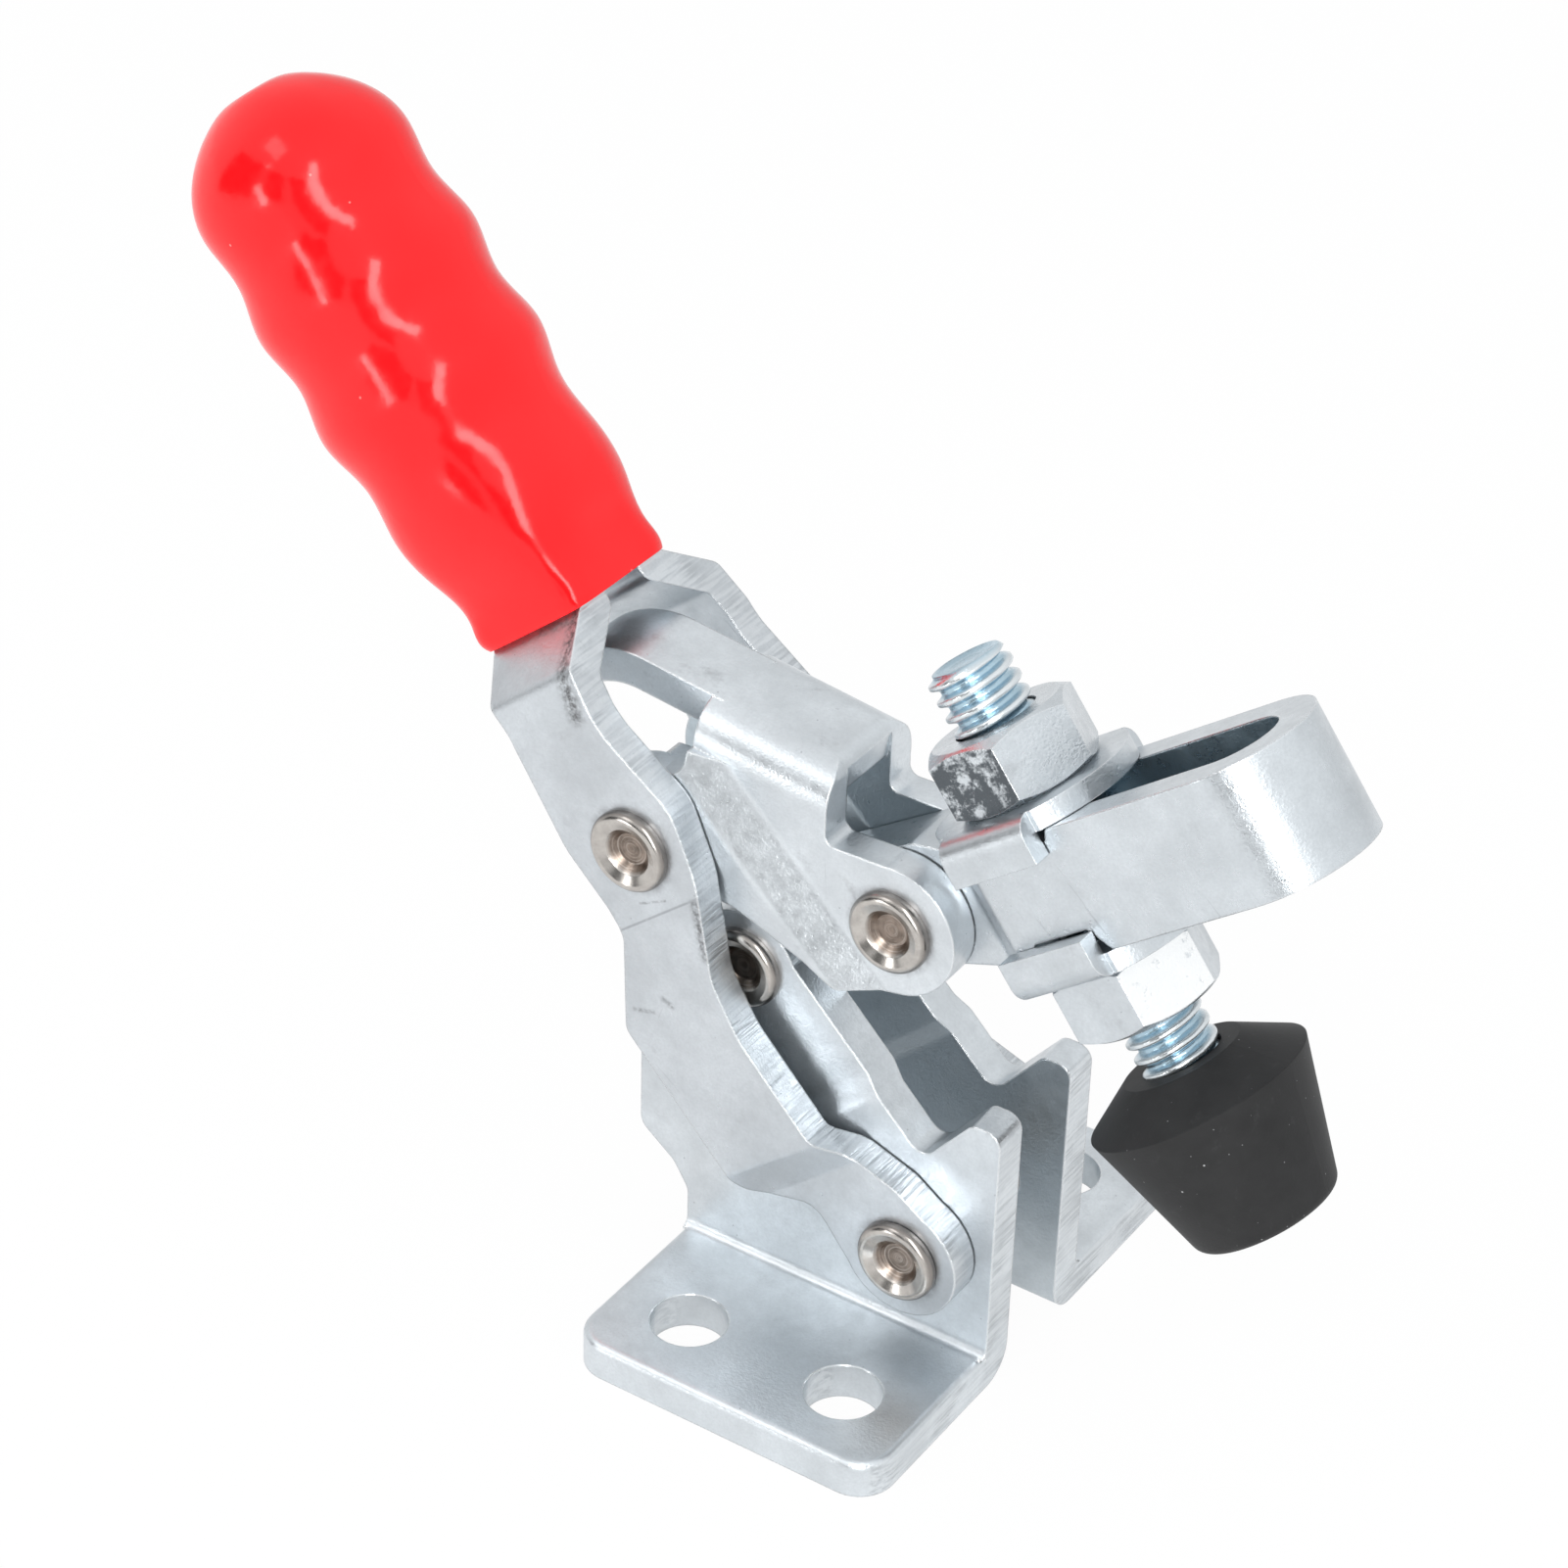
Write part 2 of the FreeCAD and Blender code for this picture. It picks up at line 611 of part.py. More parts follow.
def flanged_washer(seat, side):
    """A washer whose two ears fold over the arm's edges; side is 1 on top and -1 below."""
    ear_inner = arm_bar_outer + side_play
    ear_outer = ear_inner + washer_sheet
    disc = Part.makeCylinder(washer_radius, washer_sheet, Vector(0, 0, 0))
    wing = Part.makeBox(ear_length, 2 * ear_outer, washer_sheet + ear_drop,
                        Vector(-ear_length / 2, -ear_outer, -ear_drop))
    channel = Part.makeBox(ear_length + 2, 2 * ear_inner, ear_drop,
                           Vector(-ear_length / 2 - 1, -ear_inner, -ear_drop))
    wing = wing.cut(channel)
    bends = [edge for edge in wing.Edges
             if abs(abs(edge.CenterOfMass.y) - ear_outer) < 1e-6
             and abs(edge.CenterOfMass.z - washer_sheet) < 1e-6]
    wing = wing.makeFillet(ear_bend_radius, bends)
    bore = Part.makeCylinder(spindle_radius + washer_bore_clearance, 3 * washer_sheet,
                             Vector(0, 0, -washer_sheet))
    trimmed = disc.common(Part.makeBox(4 * washer_radius, 2 * (ear_outer - ear_bend_radius), 4,
                                       Vector(-2 * washer_radius, -(ear_outer - ear_bend_radius), -1)))
    body = wing.fuse(trimmed).removeSplitter().cut(bore)
    if side < 0:
        body.rotate(Vector(0, 0, 0), Vector(1, 0, 0), 180)
    body.translate(Vector(0, 0, seat))
    return body


def spindle():
    """A hexagon head screw, head down, with a chamfered end."""
    top = spindle_top
    head_top = -(tip_rim_distance + head_cover)
    head_low = head_top - spindle_head_height
    shank = Part.makeCylinder(spindle_radius, top - head_top, Vector(0, 0, head_top))
    rim = [edge for edge in shank.Edges if edge.BoundBox.ZMin > top - 1e-6]
    shank = shank.makeChamfer(thread_chamfer, rim)
    head = hex_prism(spindle_head_flats, spindle_head_height, head_low)
    return shank.fuse(head).removeSplitter()


def rubber_tip():
    """A tapered rubber cap over the spindle's head, with a sloping shoulder and a small lip."""
    rim = -tip_rim_distance
    low = rim - tip_height
    neck = rim + tip_neck_height
    wall = Part.makePolygon([Vector(0, 0, low), Vector(tip_end_radius, 0, low),
                             Vector(tip_rim_radius, 0, rim), Vector(tip_neck_radius, 0, neck),
                             Vector(0, 0, neck), Vector(0, 0, low)])
    body = Part.Face(wall).revolve(Vector(0, 0, 0), Vector(0, 0, 1), 360)
    end_rim = [edge for edge in body.Edges if edge.BoundBox.ZMax < low + 1e-6 and edge.BoundBox.XLength > 1]
    body = body.makeFillet(tip_end_rounding, end_rim)
    head_top = -(tip_rim_distance + head_cover)
    pocket = hex_prism(spindle_head_flats + 2 * held_clearance, spindle_head_height + 2 * held_clearance,
                       head_top - spindle_head_height - held_clearance)
    bore = Part.makeCylinder(spindle_radius + held_clearance, reach, Vector(0, 0, head_top - 1))
    return body.cut(pocket.fuse(bore))


def on_arm(shape, along):
    """A piece built on the spindle's axis, placed at its distance along the arm."""
    moved = shape.copy()
    moved.translate(Vector(along, 0, 0))
    return placed(moved, arm_pivot, arm_angle)


def build():
    parts = {}
    left_base = base_plate()
    parts["base_plate_left"] = left_base
    parts["base_plate_right"] = mirrored(left_base)
    left_handle = handle_plate()
    parts["handle_plate_left"] = left_handle
    parts["handle_plate_right"] = mirrored(left_handle)
    parts["handle_grip"] = handle_grip()
    parts["link_bracket"] = link_bracket()
    parts["clamp_arm"] = clamp_arm()

    front_seat = handle_lobe_inner + handle_sheet + face_play
    front_rivet = short_rivet(base_front_pivot, web_lower_inner, front_seat)
    parts["handle_base_rivet_left"] = front_rivet
    parts["handle_base_rivet_right"] = mirrored(front_rivet)
    rear_rivet = short_rivet(base_rear_pivot, web_upper_inner, web_upper_outer)
    parts["arm_base_rivet_left"] = rear_rivet
    parts["arm_base_rivet_right"] = mirrored(rear_rivet)
    parts["link_arm_rivet"] = long_rivet(arm_pivot, link_front_outer)
    parts["handle_link_rivet"] = long_rivet(link_pivot, handle_inner + handle_sheet)

    upper_seat = arm_bar_top + face_play
    lower_seat = -(arm_bar_bottom + face_play)
    parts["flanged_washer_upper"] = on_arm(flanged_washer(upper_seat, 1), spindle_position)
    parts["flanged_washer_lower"] = on_arm(flanged_washer(lower_seat, -1), spindle_position)
    parts["nut_upper"] = on_arm(hex_nut(upper_seat + washer_sheet), spindle_position)
    parts["nut_lower"] = on_arm(hex_nut(lower_seat - washer_sheet - nut_height), spindle_position)
    parts["spindle"] = on_arm(spindle(), spindle_position)
    parts["rubber_tip"] = on_arm(rubber_tip(), spindle_position)
    return parts


os.makedirs("parts", exist_ok=True)
for name, shape in build().items():
    if not shape.isValid():
        print("not valid:", name)
    shape.exportStep(os.path.join("parts", name + ".step"))
    print(name, len(shape.Solids), "solid, volume", round(shape.Volume, 1), "mm3")
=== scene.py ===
import math

import bmesh
import bpy
from mathutils import Matrix, Vector


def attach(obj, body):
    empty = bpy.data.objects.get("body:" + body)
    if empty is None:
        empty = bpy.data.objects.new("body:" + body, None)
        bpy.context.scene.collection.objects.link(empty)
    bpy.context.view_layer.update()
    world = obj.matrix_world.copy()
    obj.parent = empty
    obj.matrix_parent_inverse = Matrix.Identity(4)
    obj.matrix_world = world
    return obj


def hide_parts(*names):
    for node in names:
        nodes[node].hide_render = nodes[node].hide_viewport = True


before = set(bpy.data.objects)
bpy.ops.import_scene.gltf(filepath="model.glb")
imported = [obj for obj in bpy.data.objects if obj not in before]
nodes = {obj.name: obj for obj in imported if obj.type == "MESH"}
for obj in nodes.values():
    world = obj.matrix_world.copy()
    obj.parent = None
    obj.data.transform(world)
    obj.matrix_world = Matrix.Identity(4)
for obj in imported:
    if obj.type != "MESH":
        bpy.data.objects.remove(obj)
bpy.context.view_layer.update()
scene = bpy.context.scene
scene.view_settings.view_transform = "Standard"

MM = 0.001

# Pivots at rest in the part's frame, as (X, Z) in millimetres
BASE_FRONT = (6.75, 10.8)
BASE_REAR = (-8.8, 27.5)
ARM = (2.8, 35.2)
LINK = (-15.7, 36.6)
# Tilt of the handle, the link bracket and the arm at rest, in degrees
HANDLE_ANGLE = 40.0
LINK_ANGLE = -7.0
ARM_ANGLE = 37.2

# The spindle, in millimetres: its place along the arm, and its levels from the arm's pivot line
SPINDLE_AT = 12.75
SPINDLE_TOP = 14.6
SPINDLE_RADIUS = 2.95
HEAD_TOP = -21.4
HEAD_LOW = -25.4
HEAD_FLATS = 9.0
HEAD_SIDES = 6

# The thread: depth, pitch and lead-in in millimetres, root and flank as shares of half a pitch
THREAD_DEPTH = 0.58
THREAD_PITCH = 1.2
THREAD_ROOT = 0.22
THREAD_FLANK = 0.60
THREAD_STEPS = 64
THREAD_ROWS_PER_TURN = 12
LEAD_IN = 0.5
LEAD_IN_SLOPE = 0.8
# Radii below which the thread is blue, and above which it is bright
BLUE_ROOT = SPINDLE_RADIUS - 0.85 * THREAD_DEPTH
BRIGHT_CREST = SPINDLE_RADIUS - 0.1
# The dished end of the spindle, as (inset, drop) of each ring in millimetres
END_RINGS = ((0.25, -0.03), (0.5, 0.10), (1.2, 0.20))
# Quads below this area in square metres are the thread's and are shaded smooth
SMOOTH_AREA = 1e-6

# Camera at the photograph's angle: place in millimetres, angles in degrees
CAMERA_AT = (126.22, -211.16, 208.81)
CAMERA_AZIMUTH = 32.735
CAMERA_ELEVATION = 34.029
CAMERA_ROLL = 1.7925
CAMERA_CLIP = (0.01, 10.0)
SENSOR_WIDTH = 36.0
FOCAL_PIXELS = 4500.0
IMAGE_PIXELS = 1601.0

# The studio, in metres. The white shares say how much of plain white a kind of ray sees.
SKY_COLOR = (0.965, 0.985, 1.0, 1.0)
SKY_BRIGHT_SIDE = (0.8, -0.5, 0.0)
# The sky's strength over the height of a direction, and over how far it points to the bright side:
# from and to that value, and the strength at either end
SKY_RISE = (-0.1, 0.7, 0.72, 1.0)
SKY_SIDE = (-0.8, 0.8, 0.84, 1.18)
SKY_WHITE_IN_GLOSS = 0.35
FLOOR_HALF = 2.5
FLOOR_GREY = 0.82
FLOOR_WHITE_DIRECT = 0.96
FLOOR_WHITE_IN_GLOSS = 0.60
CARD_GREY = 0.03
CARDS = (
    ((0.015, -0.22, 0.001), (0.115, -0.22, 0.001), (0.33, -0.80, 0.38), (-0.02, -0.80, 0.38)),
    ((-0.06, -0.55, 0.001), (-0.66, -0.26, 0.001), (-0.66, -0.26, 0.28), (-0.06, -0.55, 0.28)),
)
LAMP_TARGET = (0.0, 0.0, 0.05)
# Each lamp: name, place, width, height, lean from upright in degrees, and radiance of its face
LAMPS = (
    ("soft_right", (0.125, -0.245, 0.18), 0.07, 0.30, 0.0, 7.4),
    ("low_right", (0.44, -0.56, 0.17), 0.07, 0.28, 0.0, 2.2),
    ("soft_left", (-0.35, -0.56, 0.26), 0.045, 0.24, 0.0, 6.0),
    ("low_left", (-0.163, -0.273, 0.05), 0.035, 0.12, 38.0, 8.0),
    ("key", (-0.34, -0.40, 0.56), 0.30, 0.22, 0.0, 2.2),
)

# Scuffs on the handle plate: start, end, width in millimetres in the plate's own frame, and strength
HANDLE_MARKS = (
    ((2.2, 28.9), (0.3, 25.2), 0.75, 0.85),
    ((2.6, 51.0), (1.6, 44.2), 1.2, 0.85),
    ((-1.5, 49.9), (1.8, 49.6), 0.6, 0.5),
    ((-5.6, 23.6), (-5.3, 22.9), 0.45, 0.5),
    ((-8.7, 23.7), (-7.2, 23.0), 0.3, 0.45),
    ((-2.6, 30.5), (-0.2, 30.0), 0.16, 0.45),
)
HANDLE_CREASE = 29.3
# Marks show where a surface lies beyond these Y in millimetres and faces the near side by so much
NEAR_PLATE = (-4.0, -5.0)
NEAR_SIDE = (0.0, -1.0, 0.0)
NEAR_FACING = (0.3, 0.6)

# The directions that a sheet's own faces look in: one flat sheet, and one with a folded foot
SHEET = ((0.0, 1.0, 0.0),)
FOLDED = ((0.0, 1.0, 0.0), (0.0, 0.0, 1.0))

# Painted reflections on one face of each nut, dark on the upper and a glare on the lower: its direction, and
# the colour, strength and lower level of the painted blotches on it
NUT_UPPER_PAINTED_REFLECTION = (NEAR_SIDE, (0.05, 0.06, 0.07, 1.0), 0.90, 0.36)
NUT_LOWER_PAINTED_GLARE = ((0.69, -0.50, 0.52), (0.97, 0.98, 0.98, 1.0), 0.90, 0.26)

# Colours that the zinc finishes share
STAIN = (0.22, 0.22, 0.23, 1.0)
PIT = (0.16, 0.17, 0.19, 1.0)
SHEAR_RIB = (0.90, 0.92, 0.93, 1.0)
# Grime and painted contact shade around the rivet heads
RIVET_GRIME_AND_SHADE = (0.20, 0.20, 0.21, 1.0)
SCUFF = (0.075, 0.07, 0.07, 1.0)
# Painted shade along the bend line of the handle plate
CREASE_PAINTED_SHADE = (0.22, 0.23, 0.25, 1.0)
THREAD_CREST = (0.74, 0.78, 0.80, 1.0)
# Painted bluish shade on faces that look inward, as in a recess
RECESS_PAINTED_SHADE = (0.30, 0.40, 0.46, 1.0)
# Worn edges, lightened further by a painted highlight
WORN_EDGE_AND_HIGHLIGHT = (0.93, 0.945, 0.955, 1.0)

# The share of a speck's radius that it covers fully
SPECK_CORE = 0.6
# Softened edges: samples of the normal, and the agreement with the plain one between which an edge sets in
BEVEL_SAMPLES = 4
EDGE_MASK = (0.985, 0.86)
# A rivet's head: radii in millimetres between which its recess and the dark ring at its rim set in
RIVET_RECESS = (1.80, 1.55)
RIVET_RIM = (2.75, 3.0)
# Radii between which the grime and painted contact shade on the plate around a rivet fade in
GRIME_AND_SHADE_RING = (3.75, 3.1)


def rgb(red, green, blue):
    return (red, green, blue, 1.0)


def scaled(color, factor):
    return rgb(*[min(1.0, channel * factor) for channel in color])


def make_camera():
    """The camera that took the photograph, as fitted to it."""
    a = math.radians(CAMERA_AZIMUTH)
    e = math.radians(CAMERA_ELEVATION)
    r = math.radians(CAMERA_ROLL)
    back = Vector((math.sin(a) * math.cos(e), -math.cos(a) * math.cos(e), math.sin(e)))
    level = Vector((math.cos(a), math.sin(a), 0.0))
    upward = back.cross(level)
    right = math.cos(r) * level + math.sin(r) * upward
    up = math.cos(r) * upward - math.sin(r) * level
    data = bpy.data.cameras.new("camera")
    data.sensor_width = SENSOR_WIDTH
    data.lens = SENSOR_WIDTH * FOCAL_PIXELS / IMAGE_PIXELS
    data.clip_start, data.clip_end = CAMERA_CLIP
    camera = bpy.data.objects.new("camera", data)
    turn = Matrix((right, up, back)).transposed().to_4x4()
    camera.matrix_world = Matrix.Translation(Vector(CAMERA_AT) * MM) @ turn
    scene.collection.objects.link(camera)
    scene.camera = camera


class Tree:
    """The node tree of a material or a world, with short names for the nodes that the finishes share."""

    def __init__(self, name, world=False):
        self.owner = (bpy.data.worlds if world else bpy.data.materials).new(name)
        self.owner.use_nodes = True
        self.nodes = self.owner.node_tree.nodes
        self.links = self.owner.node_tree.links
        self.nodes.clear()
        output = self.nodes.new("ShaderNodeOutputWorld" if world else "ShaderNodeOutputMaterial")
        self.surface = output.inputs["Surface"]

    def add(self, kind, **values):
        node = self.nodes.new(kind)
        for key, value in values.items():
            setattr(node, key, value)
        return node

    def put(self, socket, value):
        if isinstance(value, bpy.types.NodeSocket):
            self.links.new(value, socket)
        elif value is not None:
            socket.default_value = value

    def fill(self, kind, *values):
        """A node with its first inputs set or linked, as its first output."""
        node = self.add(kind)
        for socket, value in zip(node.inputs, values):
            self.put(socket, value)
        return node.outputs[0]

    def math(self, operation, a, b=None):
        node = self.add("ShaderNodeMath", operation=operation)
        self.put(node.inputs[0], a)
        self.put(node.inputs[1], b)
        return node.outputs[0]

    def times(self, a, b):
        return self.math("MULTIPLY", a, b)

    def plus(self, a, b):
        return self.math("ADD", a, b)

    def minus(self, a, b):
        return self.math("SUBTRACT", a, b)

    def larger(self, a, b):
        return self.math("MAXIMUM", a, b)

    def length(self, a, b):
        return self.math("SQRT", self.plus(self.times(a, a), self.times(b, b)))

    def mix(self, factor, a, b):
        node = self.add("ShaderNodeMix", data_type="RGBA")
        self.put(node.inputs[0], factor)
        self.put(node.inputs[6], a)
        self.put(node.inputs[7], b)
        return node.outputs[2]

    def paint(self, color, mask, strength, shade):
        """The colour, with a shade laid over it where the mask is."""
        return self.mix(self.times(mask, strength), color, shade)

    def ramp(self, value, low, high, start=0.0, end=1.0, interpolation="LINEAR"):
        """From start where the value is at low to end where it is at high, and level beyond both."""
        node = self.add("ShaderNodeMapRange", interpolation_type=interpolation, clamp=True)
        self.put(node.inputs[0], value)
        for socket, limit in zip(list(node.inputs)[1:5], (low, high, start, end)):
            socket.default_value = limit
        return node.outputs[0]

    def split(self, vector):
        node = self.add("ShaderNodeSeparateXYZ")
        self.put(node.inputs[0], vector)
        return node.outputs

    def dot(self, a, b):
        node = self.add("ShaderNodeVectorMath", operation="DOT_PRODUCT")
        self.put(node.inputs[0], a)
        self.put(node.inputs[1], b)
        return node.outputs["Value"]

    def coordinates(self, kind):
        node = self.nodes.get("coordinates") or self.add("ShaderNodeTexCoord", name="coordinates")
        return node.outputs[kind]

    def placed(self, pivot=(0.0, 0.0), angle=0.0, stretch=(1.0, 1.0, 1.0), shift=0.0):
        """The surface point in millimetres in a piece's own frame; a stretch draws texture out along an axis.

        The shift is in metres across the piece and gives each piece a different part of the texture.
        """
        node = self.add("ShaderNodeMapping", vector_type="TEXTURE")
        self.put(node.inputs[0], self.coordinates("Object"))
        node.inputs[1].default_value = (pivot[0] * MM, shift, pivot[1] * MM)
        node.inputs[2].default_value = (0.0, math.radians(-angle), 0.0)
        node.inputs[3].default_value = tuple(MM * s for s in stretch)
        return node.outputs[0]

    def noise(self, vector, scale, detail, rough):
        """Noise with a scale in waves per millimetre, octaves of detail and the weight of each on the last."""
        node = self.add("ShaderNodeTexNoise")
        self.put(node.inputs["Vector"], vector)
        node.inputs["Scale"].default_value = scale
        node.inputs["Detail"].default_value = detail
        node.inputs["Roughness"].default_value = rough
        return node.outputs[0]

    def specks(self, vector, cells, radius, share):
        """Round spots of a radius in millimetres, in a share of the cells; cells are per millimetre."""
        node = self.add("ShaderNodeTexVoronoi")
        self.put(node.inputs["Vector"], vector)
        node.inputs["Scale"].default_value = cells
        spot = self.ramp(node.outputs["Distance"], radius * cells, SPECK_CORE * radius * cells)
        chosen = self.math("LESS_THAN", self.split(node.outputs["Color"])[0], share)
        return self.times(spot, chosen)

    def toward(self, direction):
        """How squarely the surface looks in a direction of the piece, from -1 to 1."""
        return self.dot(self.coordinates("Normal"), direction)

    def near_line(self, x, z, start, end, width):
        """1 on the segment from start to end in a piece's XZ plane, falling to 0 at a width from it."""
        along = Vector((end[0] - start[0], end[1] - start[1]))
        length = along.length
        along.normalize()
        dx = self.minus(x, start[0])
        dz = self.minus(z, start[1])
        t = self.plus(self.times(dx, along[0]), self.times(dz, along[1]))
        side = self.plus(self.times(dx, -along[1]), self.times(dz, along[0]))
        beyond = self.larger(self.larger(self.minus(t, length), self.times(t, -1.0)), 0.0)
        return self.ramp(self.length(side, beyond), width, 0.0, interpolation="SMOOTHSTEP")

    def rounded_normal(self, radius):
        """The normal with every edge softened to a radius, and a mask of those edges."""
        bevel = self.add("ShaderNodeBevel", samples=BEVEL_SAMPLES)
        bevel.inputs["Radius"].default_value = radius * MM
        plain = self.add("ShaderNodeNewGeometry").outputs["Normal"]
        edge = self.ramp(self.dot(bevel.outputs[0], plain), *EDGE_MASK)
        return bevel.outputs[0], edge

    def bump(self, height, strength, distance, normal=None):
        """The normal, tilted by a height whose unit is a distance in millimetres."""
        node = self.add("ShaderNodeBump")
        node.inputs["Strength"].default_value = strength
        node.inputs["Distance"].default_value = distance * MM
        self.put(node.inputs["Height"], height)
        self.put(node.inputs["Normal"], normal)
        return node.outputs[0]

    def principled(self, color, roughness, normal, **fixed):
        """The finished material, with its constant values set right on the shader's inputs."""
        node = self.add("ShaderNodeBsdfPrincipled")
        self.put(node.inputs["Base Color"], color)
        self.put(node.inputs["Roughness"], roughness)
        self.put(node.inputs["Normal"], normal)
        for key, value in fixed.items():
            node.inputs[key].default_value = value
        self.put(self.surface, node.outputs[0])
        return self.owner


def zinc(name, tint=(0.66, 0.70, 0.73), rough=0.27, pivot=(0.0, 0.0), angle=0.0, cut=None, rivets=(),
         marks=(), crease=None, edge_radius=0.25, face_reflection=None, bolt=None, inward_shade=0.4, grime=0.4,
         seed=0.0):
    """Bright zinc plate on steel: clouds, fine grain, pits, scratches, sheared faces, worn edges with a
    painted highlight.

    The pivot and angle are the piece's own frame, in which the texture lies.
    cut: directions of the sheet's own faces, so that the faces away from them get shearing marks.
    rivets: pivots with a ring of grime and painted contact shade around them.
    marks: dark scuffs on the outer face of the near plate, as (start, end, width, strength).
    crease: height of a bend line on that face, with painted shade along it.
    face_reflection: direction, colour, strength and lower level of painted reflection blotches on one face.
    bolt: where a threaded axis stands, and its radius in the roots and at the crests.
    inward_shade: how strongly inward faces take a painted bluish shade, as in a recess.
    grime: how strong the stains are.
    """
    t = Tree(name)
    point = t.placed(pivot, angle, shift=seed)
    x, y, z = t.split(t.placed(pivot, angle))[:3]

    # Plating: slow clouds, a mottle and a fine grain, with stains, pits and two sets of scratches
    clouds = t.noise(point, 0.16, 3.0, 0.6)
    mottle = t.noise(point, 1.1, 4.0, 0.65)
    grain = t.noise(point, 4.5, 2.0, 0.6)
    pits = t.specks(point, 0.9, 0.07, 0.35)
    stains = t.ramp(t.noise(point, 0.34, 5.0, 0.7), 0.60, 0.74)
    long_marks = t.noise(t.placed(pivot, angle + 12.0, (1.0, 1.0, 24.0), seed), 3.2, 2.0, 0.5)
    cross_marks = t.noise(t.placed(pivot, angle - 58.0, (1.0, 1.0, 18.0), seed), 3.0, 2.0, 0.5)
    patch = t.ramp(t.noise(point, 0.22, 2.0, 0.5), 0.48, 0.60)
    scratch = t.times(t.ramp(t.larger(long_marks, cross_marks), 0.715, 0.745), patch)
    color = t.mix(t.ramp(clouds, 0.34, 0.66), scaled(tint, 0.88), scaled(tint, 1.06))
    color = t.paint(color, t.ramp(mottle, 0.38, 0.72), 0.22, scaled(tint, 0.72))
    color = t.paint(color, t.ramp(grain, 0.38, 0.66), 0.22, scaled(tint, 0.72))
    color = t.paint(color, stains, 0.55 * grime, STAIN)
    color = t.paint(color, scratch, 0.30, scaled(tint, 0.55))
    color = t.paint(color, pits, 0.55, PIT)
    roughness = t.plus(t.times(t.ramp(mottle, 0.3, 0.75), 0.14), rough)
    height = t.plus(t.times(grain, 2.2), t.times(mottle, 1.2))
    height = t.minus(height, t.times(t.plus(pits, scratch), 0.8))

    if cut is not None:
        square = t.math("ABSOLUTE", t.toward(cut[0]))
        for direction in cut[1:]:
            square = t.larger(square, t.math("ABSOLUTE", t.toward(direction)))
        sheared = t.ramp(square, 0.72, 0.62) if len(cut) > 1 else t.ramp(square, 0.45, 0.15)
        lines = t.noise(t.placed(stretch=(1.0, 14.0, 1.0), shift=seed), 3.6, 2.0, 0.5)
        torn = t.ramp(t.noise(point, 0.30, 1.0, 0.4), 0.46, 0.60)
        color = t.paint(color, t.times(sheared, t.ramp(lines, 0.56, 0.40)), 0.22, SHEAR_RIB)
        lines = t.times(t.times(t.ramp(lines, 0.44, 0.66), sheared), t.plus(t.times(torn, 0.8), 0.2))
        color = t.paint(color, lines, 0.34, scaled(tint, 0.42))
        height = t.minus(height, t.times(lines, 4.0))
    # Grime and painted contact shade in a ring on the plate around each rivet
    for place in rivets:
        across, _, above = t.split(t.placed(place))[:3]
        ring = t.ramp(t.length(across, above), *GRIME_AND_SHADE_RING, interpolation="SMOOTHSTEP")
        color = t.paint(color, t.times(ring, t.ramp(mottle, 0.25, 0.6)), 0.45, RIVET_GRIME_AND_SHADE)
    if marks or crease is not None:
        # The outer face of the near plate
        near = t.times(t.ramp(y, *NEAR_PLATE), t.ramp(t.toward(NEAR_SIDE), *NEAR_FACING))
    for start, end, width, strength in marks:
        rubbed = t.ramp(t.noise(point, 2.6, 4.0, 0.7), 0.34, 0.62)
        worn = t.times(t.times(t.near_line(x, z, start, end, width), rubbed), near)
        color = t.paint(color, worn, strength, SCUFF)
        roughness = t.plus(roughness, t.times(worn, 0.15))
    if crease is not None:
        # Painted shade along the bend line, and a dip in height there
        line = t.ramp(t.math("ABSOLUTE", t.minus(z, crease)), 0.13, 0.03)
        line = t.times(t.times(line, t.ramp(mottle, 0.2, 0.45)), near)
        color = t.paint(color, line, 0.5, CREASE_PAINTED_SHADE)
        height = t.minus(height, t.times(line, 1.0))
    if bolt is not None:
        axis_at, root, crest = bolt
        radius = t.length(t.minus(x, axis_at), y)
        color = t.mix(t.ramp(radius, root, crest), color, THREAD_CREST)
    # Painted bluish shade on faces that look toward the middle of the piece, as in a recess
    if inward_shade > 0.0:
        inward = t.times(t.toward((0.0, 1.0, 0.0)), t.times(y, -1.0))
        color = t.paint(color, t.ramp(inward, 0.5, 2.5), inward_shade, RECESS_PAINTED_SHADE)
    # Painted reflections in blotches on the face that looks in the given direction
    if face_reflection is not None:
        direction, shade, strength, spread = face_reflection
        reflection_blotches = t.ramp(t.noise(point, 0.9, 4.0, 0.72), spread, spread + 0.14)
        reflection_blotches = t.times(t.ramp(t.toward(direction), 0.80, 0.93), reflection_blotches)
        color = t.paint(color, reflection_blotches, strength, shade)
        height = t.plus(height, t.times(reflection_blotches, 2.5))

    normal, edge = t.rounded_normal(edge_radius)
    # Worn edges, lightened by a painted highlight and made smoother
    color = t.paint(color, edge, 0.75, WORN_EDGE_AND_HIGHLIGHT)
    roughness = t.minus(roughness, t.times(edge, 0.12))
    return t.principled(color, roughness, t.bump(height, 0.35, 0.03, normal), Metallic=0.94)


